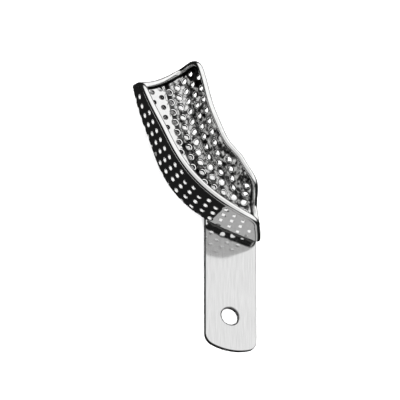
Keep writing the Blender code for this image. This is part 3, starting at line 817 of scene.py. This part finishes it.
def fillet_mesh(name, high, low, bulge, back):
    """A strip of braze whose section runs from a high line to a low line, closed behind."""
    sections = []
    for a, b, push, rear in zip(high, low, bulge, back):
        curve = []
        for part in np.linspace(0.0, 1.0, BEAD_STEPS):
            straight = a + (b - a) * part
            curve.append(straight + push * 4 * part * (1 - part))
        curve.append(rear)
        sections.append(curve)
    sections = np.array(sections)
    count, size = sections.shape[:2]
    verts = sections.reshape(-1, 3)
    faces = []
    for i in range(count - 1):
        for k in range(size):
            m = (k + 1) % size
            faces.append((i * size + k, (i + 1) * size + k, (i + 1) * size + m, i * size + m))
    faces.append(tuple(range(size - 1, -1, -1)))
    faces.append(tuple((count - 1) * size + k for k in range(size)))
    mesh = bpy.data.meshes.new(name)
    mesh.from_pydata([tuple(v) for v in verts * MM], [], faces)
    mesh.shade_smooth()
    mesh.set_sharp_from_angle(angle=BEAD_SHARP_ANGLE)
    return mesh


def ripple(at, waves):
    """An uneven line: a sum of sines, each given as its strength, rate and start."""
    return sum(strength * np.sin(at * rate + start) for strength, rate, start in waves)


def front_fillet(surface):
    """Braze in the corner between the outer wall's bend and the handle's upper face."""
    u = np.linspace(0.0, BEAD_REACH, 120)
    middle, across, half, _ = surface.station(u)
    wave = ripple(u, FRONT_RIPPLE)
    climb = BEAD_CLIMB + BEAD_CLIMB_WAVE * wave
    radius = BEND_RADIUS[-1] + SHEET_THICKNESS / 2
    centre_z = FLOOR_LEVEL + BEND_RADIUS[-1]
    wall_out = half + radius * np.sin(climb)
    wall_z = centre_z - radius * np.cos(climb)
    foot_out = half + radius * np.sin(climb) + BEAD_FOOT + BEAD_FOOT_WAVE * wave
    high = np.column_stack((middle - across * wall_out[:, None], wall_z))
    low = np.column_stack((middle - across * foot_out[:, None], np.full(len(u), 0.0)))
    rear = np.column_stack((middle - across * (half + BEAD_BACK)[:, None], np.full(len(u), 0.05)))
    push = np.column_stack((across * BEAD_HOLLOW, np.full(len(u), -BEAD_HOLLOW)))
    limit = HANDLE_WIDTH / 2 - BEAD_SIDE_GAP
    inside = np.abs(low[:, 0] - HANDLE_SHIFT) < limit
    return fillet_mesh("front_braze_fillet", high[inside], low[inside], push[inside], rear[inside])


def rear_fillet():
    """Braze under the pan, round the handle's hidden inner end."""
    left = HANDLE_SHIFT - HANDLE_WIDTH / 2
    right = HANDLE_SHIFT + HANDLE_WIDTH / 2
    return_end = HANDLE_INNER_END - REAR_BEAD_RETURN
    corner = np.linspace(math.pi, math.pi / 2, 8)[1:]
    route = [(left, y, -1.0, 0.0) for y in np.linspace(return_end, HANDLE_INNER_END, 8)]
    route += [(left, HANDLE_INNER_END, math.cos(a), math.sin(a)) for a in corner]
    route += [(x, HANDLE_INNER_END, 0.0, 1.0) for x in np.linspace(left, right - 1.0, 40)[1:]]
    route = np.array(route)
    place, out = route[:, :2], route[:, 2:]
    wave = ripple(np.arange(len(route)), REAR_RIPPLE)
    width = REAR_BEAD_WIDTH + REAR_BEAD_WAVE * wave
    high = np.column_stack((place + out * width[:, None], np.full(len(route), TOUCH_GAP)))
    low = np.column_stack((place, np.full(len(route), -REAR_BEAD_DEPTH)))
    rear = np.column_stack((place - out * REAR_BEAD_HOLLOW, np.full(len(route), TOUCH_GAP)))
    push = np.column_stack((-out * REAR_BEAD_HOLLOW, np.full(len(route), REAR_BEAD_HOLLOW)))
    return fillet_mesh("rear_braze_fillet", high, low, push, rear)


def node(tree, kind, **values):
    """A shader node with some of its inputs or properties set."""
    made = tree.nodes.new(kind)
    for name, value in values.items():
        if name in made.inputs:
            made.inputs[name].default_value = value
        else:
            setattr(made, name, value)
    return made


def mapped(tree, value, source, result=(0.0, 1.0)):
    """A value carried from one range to another."""
    made = node(tree, "ShaderNodeMapRange")
    for name, number in zip(("From Min", "From Max", "To Min", "To Max"), (*source, *result)):
        made.inputs[name].default_value = number
    tree.links.new(value, made.inputs["Value"])
    return made.outputs["Result"]


def blend(tree, kind, factor, first, second):
    """Mix two colours; each of them and the factor is a number, a colour or a socket."""
    mix = node(tree, "ShaderNodeMix", data_type="RGBA", blend_type=kind)
    for slot, value in ((0, factor), (6, first), (7, second)):
        if isinstance(value, float):
            mix.inputs[slot].default_value = value if slot == 0 else (value, value, value, 1.0)
        elif isinstance(value, tuple):
            mix.inputs[slot].default_value = (*value, 1.0)
        else:
            tree.links.new(value, mix.inputs[slot])
    return mix.outputs[2]


def steel(name, color, roughness, tone_low, stretch, grain_scale, grain_bump, wave_scale, wave_bump):
    """Stainless steel with a grain, slow waviness and slight variation of roughness and colour."""
    made = bpy.data.materials.new(name)
    made.use_nodes = True
    tree = made.node_tree
    shader = tree.nodes["Principled BSDF"]
    shader.inputs["Metallic"].default_value = 1.0
    place = node(tree, "ShaderNodeTexCoord")
    spread = node(tree, "ShaderNodeMapping", Scale=stretch)
    tree.links.new(place.outputs["Object"], spread.inputs["Vector"])
    grain = node(tree, "ShaderNodeTexNoise", Scale=grain_scale, Detail=4.0)
    tree.links.new(spread.outputs["Vector"], grain.inputs["Vector"])
    wave = node(tree, "ShaderNodeTexNoise", Scale=wave_scale, Detail=2.0)
    tree.links.new(place.outputs["Object"], wave.inputs["Vector"])
    tone = mapped(tree, grain.outputs["Fac"], GRAIN_RANGE, (tone_low, 1.0))
    tree.links.new(blend(tree, "MULTIPLY", 1.0, color, tone), shader.inputs["Base Color"])
    rough = mapped(tree, grain.outputs["Fac"], GRAIN_RANGE, (roughness * 0.8, roughness * 1.2))
    tree.links.new(rough, shader.inputs["Roughness"])
    slow = node(tree, "ShaderNodeBump", label="slow", Strength=1.0, Distance=wave_bump * MM)
    tree.links.new(wave.outputs["Fac"], slow.inputs["Height"])
    fine = node(tree, "ShaderNodeBump", Strength=1.0, Distance=grain_bump * MM)
    tree.links.new(grain.outputs["Fac"], fine.inputs["Height"])
    tree.links.new(slow.outputs["Normal"], fine.inputs["Normal"])
    tree.links.new(fine.outputs["Normal"], shader.inputs["Normal"])
    return made


def stepped(tree, value, stops):
    """A grey level that follows a value through (value, level) stops."""
    low, high = stops[0][0], stops[-1][0]
    ramp = node(tree, "ShaderNodeValToRGB")
    elements = ramp.color_ramp.elements
    while len(elements) < len(stops):
        elements.new(0.5)
    for element, (at, level) in zip(elements, stops):
        element.position = (at - low) / (high - low)
        element.color = (level, level, level, 1.0)
    tree.links.new(mapped(tree, value, (low, high)), ramp.inputs["Fac"])
    return ramp.outputs["Color"]


def stored(tree, name):
    """A number that the mesh keeps for each of its points."""
    return node(tree, "ShaderNodeAttribute", attribute_name=name).outputs["Fac"]


def paint_sheet_light_and_waviness(made):
    """Painted highlights and dark rings round the inner wall's holes, painted blotchy reflection and shade on
    the inner wall, painted shade in the bores, under the distal wire, beside the wire and low on the sheet's
    outer side by the handle, and a wavier bump where the inner wall was drawn.
    """
    tree = made.node_tree
    shader = tree.nodes["Principled BSDF"]
    reach = stored(tree, "hole_reach")
    climb = stored(tree, "wall_climb")
    place = node(tree, "ShaderNodeTexCoord")
    # Painted blotchy reflection on the drawn inner wall; the same zone also gets a wavier bump
    reflection_noise = node(tree, "ShaderNodeTexNoise", Scale=REFLECTION_BLOTCH_SCALE, Detail=3.0)
    tree.links.new(place.outputs["Object"], reflection_noise.inputs["Vector"])
    web = stepped(tree, reflection_noise.outputs["Fac"], REFLECTION_BLOTCH_TONES)
    drawn_wall_and_reflection = stepped(tree, climb, DRAWN_WALL_AND_REFLECTION_FROM)
    ringed = stepped(tree, climb, RINGED_FROM)
    # Painted highlight on the holes' rims and painted dark reflection rings round them
    rings = stepped(tree, reach, RING_REFLECTION_TONES)
    is_web = stepped(tree, reach, WEB_FROM)
    # Painted shade in the bend at the inner wall's foot
    foot_shade = stepped(tree, climb, FOOT_SHADE_TONES)
    web_tone = blend(tree, "MIX", drawn_wall_and_reflection, 1.0, blend(tree, "MULTIPLY", 1.0, web, foot_shade))
    marked = blend(tree, "MIX", is_web, rings, web_tone)
    tone = blend(tree, "MIX", ringed, 1.0, marked)
    on_floor = stepped(tree, climb, FLOOR_FROM)
    end_gap = stored(tree, "end_gap")
    edge_gap = stored(tree, "edge_gap")
    # Painted shade in the bores, painted shadow under the distal wire and painted contact shadow beside the
    # wire, on the floor and inner wall
    for value, stops in ((reach, BORE_SHADE_TONES), (end_gap, END_SHADOW_TONES), (edge_gap, SEAM_SHADOW_TONES)):
        mark = blend(tree, "MIX", on_floor, 1.0, stepped(tree, value, stops))
        tone = blend(tree, "MULTIPLY", 1.0, tone, mark)
    # Painted shade low on the sheet's outer side by the handle
    tone = blend(tree, "MULTIPLY", 1.0, tone, stepped(tree, stored(tree, "painted_bend_shade"), BEND_SHADE_TONES))
    old = shader.inputs["Base Color"].links[0].from_socket
    tree.links.new(blend(tree, "MULTIPLY", 1.0, old, tone), shader.inputs["Base Color"])
    slow = next(n for n in tree.nodes if n.type == "BUMP" and n.label == "slow")
    calm = slow.inputs["Distance"].default_value
    tree.links.new(mapped(tree, drawn_wall_and_reflection, (0.0, 1.0), (calm, calm * DRAWN_WAVINESS)), slow.inputs["Distance"])


def shade_edges(made):
    """Painted dark reflection on the rounded edges and painted shade down the hanging hole."""
    tree = made.node_tree
    shader = tree.nodes["Principled BSDF"]
    edge = stored(tree, "edge_shade")
    old = shader.inputs["Base Color"].links[0].from_socket
    shaded = blend(tree, "MULTIPLY", 1.0, old, stepped(tree, edge, EDGE_TONES))
    tree.links.new(shaded, shader.inputs["Base Color"])


def add_piece(name, mesh, material, replaced):
    """Place a finished piece in the row's frame, riding on the only body."""
    mesh.name = name
    mesh.materials.append(material)
    piece = bpy.data.objects.new(name, mesh)
    bpy.context.scene.collection.objects.link(piece)
    mesh.transform(Matrix.Translation(DESIGN_ZERO))
    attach(piece, "root")
    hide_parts(replaced)
    return piece


low_corner, high_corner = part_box("handle_strip")
DESIGN_ZERO = Vector((
    (low_corner.x + high_corner.x) / 2 - HANDLE_SHIFT * MM,
    low_corner.y + HANDLE_CROWN * MM,
    high_corner.z,
))

EVEN = (1.0, 1.0, 1.0)
LENGTHWISE = (1.0, 0.06, 1.0)
POLISHED = steel(
    "polished_steel", (0.74, 0.74, 0.735), roughness=0.05, tone_low=0.93, stretch=EVEN,
    grain_scale=900, grain_bump=0.0006, wave_scale=300, wave_bump=0.02,
)
paint_sheet_light_and_waviness(POLISHED)
WIRE_STEEL = steel(
    "polished_wire_steel", (0.78, 0.78, 0.775), roughness=0.08, tone_low=0.93, stretch=EVEN,
    grain_scale=900, grain_bump=0.0006, wave_scale=200, wave_bump=0.01,
)
SATIN = steel(
    "satin_brushed_steel", (0.64, 0.64, 0.64), roughness=0.12, tone_low=0.88, stretch=LENGTHWISE,
    grain_scale=2600, grain_bump=0.0015, wave_scale=120, wave_bump=0.005,
)
shade_edges(SATIN)
# Near-black braze: partly the braze's own dark colour, partly painted shade in the joint under the wall's
# bend
BRAZE_AND_SHADE = steel(
    "braze_metal", (0.07, 0.07, 0.068), roughness=0.25, tone_low=0.93, stretch=EVEN,
    grain_scale=1500, grain_bump=0.02, wave_scale=700, wave_bump=0.06,
)

surface = PanSurface()
add_piece("perforated_trough", pan_mesh(surface), POLISHED, "perforated_pan")
add_piece("rim_bead_wire", rim_wire_mesh(surface), WIRE_STEEL, "rim_wire")
add_piece("satin_handle", handle_mesh(), SATIN, "handle_strip")
add_piece("front_braze_fillet", front_fillet(surface), BRAZE_AND_SHADE, "front_braze")
add_piece("rear_braze_fillet", rear_fillet(), BRAZE_AND_SHADE, "rear_braze")


def plain(name, color, roughness):
    """A plain matt material."""
    made = bpy.data.materials.new(name)
    made.use_nodes = True
    shader = made.node_tree.nodes["Principled BSDF"]
    shader.inputs["Base Color"].default_value = color
    shader.inputs["Roughness"].default_value = roughness
    shader.inputs["Specular IOR Level"].default_value = 0.0
    return made


def white_table():
    """A round white table that the steel doesn't mirror."""
    bpy.ops.mesh.primitive_circle_add(vertices=96, radius=TABLE_RADIUS, fill_type="NGON", location=(0, 0, 0))
    table = bpy.context.object
    table.name = "white_table"
    table.data.materials.append(plain("white_table", (0.93, 0.93, 0.93, 1), 1.0))
    table.visible_glossy = False


def light_tent():
    """What the steel mirrors: white above, dark below, and a dimmer opening behind the camera."""
    world = bpy.data.worlds.new("light_tent")
    bpy.context.scene.world = world
    world.use_nodes = True
    world.cycles_visibility.diffuse = False
    tree = world.node_tree
    direction = node(tree, "ShaderNodeTexCoord").outputs["Generated"]
    parts = node(tree, "ShaderNodeSeparateXYZ")
    tree.links.new(direction, parts.inputs["Vector"])
    cloth = node(tree, "ShaderNodeValToRGB")
    lower, upper = cloth.color_ramp.elements
    lower.position, lower.color = TENT_EDGE[0], (TENT_DARK, TENT_DARK, TENT_DARK, 1)
    upper.position, upper.color = TENT_EDGE[1], (1, 1, 1, 1)
    tree.links.new(mapped(tree, parts.outputs["Z"], (-1.0, 1.0)), cloth.inputs["Fac"])
    opening = node(tree, "ShaderNodeVectorMath", operation="DOT_PRODUCT")
    opening.inputs[1].default_value = BACK
    tree.links.new(direction, opening.inputs[0])
    curtain = mapped(tree, opening.outputs["Value"], CURTAIN_EDGE, (1.0, CURTAIN_LEVEL))
    curtain.node.interpolation_type = "SMOOTHSTEP"
    background = tree.nodes["Background"]
    background.inputs["Strength"].default_value = TENT_STRENGTH
    seen = blend(tree, "MULTIPLY", 1.0, cloth.outputs["Color"], curtain)
    tree.links.new(seen, background.inputs["Color"])


def table_light(name, toward):
    """A square softbox that looks at the tray and lights the table, but isn't mirrored."""
    data = bpy.data.lights.new(name, "AREA")
    data.energy = RING_LIGHT_POWER
    data.size = RING_LIGHT_SIZE
    lamp = bpy.data.objects.new(name, data)
    bpy.context.scene.collection.objects.link(lamp)
    spot = Vector(toward).normalized()
    lamp.location = spot * RING_DISTANCE
    lamp.rotation_euler = spot.to_track_quat("Z", "Y").to_euler()
    lamp.visible_glossy = False


def long_lens_camera():
    """A camera far away with a long lens, which looks at AIM."""
    spot = DESIGN_ZERO + AIM * MM + BACK * DISTANCE
    data = bpy.data.cameras.new("camera")
    data.sensor_fit = "HORIZONTAL"
    data.sensor_width = SENSOR
    data.lens = SENSOR * DISTANCE / VIEW_WIDTH
    data.clip_start = 0.01
    data.clip_end = 20.0
    camera = bpy.data.objects.new("camera", data)
    bpy.context.scene.collection.objects.link(camera)
    camera.matrix_world = Matrix((
        (RIGHT.x, UP.x, BACK.x, spot.x),
        (RIGHT.y, UP.y, BACK.y, spot.y),
        (RIGHT.z, UP.z, BACK.z, spot.z),
        (0, 0, 0, 1),
    ))
    return camera


# Studio
white_table()
light_tent()
for index in range(RING_LIGHTS):
    turn = 2 * math.pi * (index + 0.5) / RING_LIGHTS
    level, rise = math.cos(RING_HEIGHT), math.sin(RING_HEIGHT)
    table_light(f"table_light_{index}", (math.cos(turn) * level, math.sin(turn) * level, rise))
bpy.context.scene.camera = long_lens_camera()
bpy.context.scene.view_settings.view_transform = "Standard"
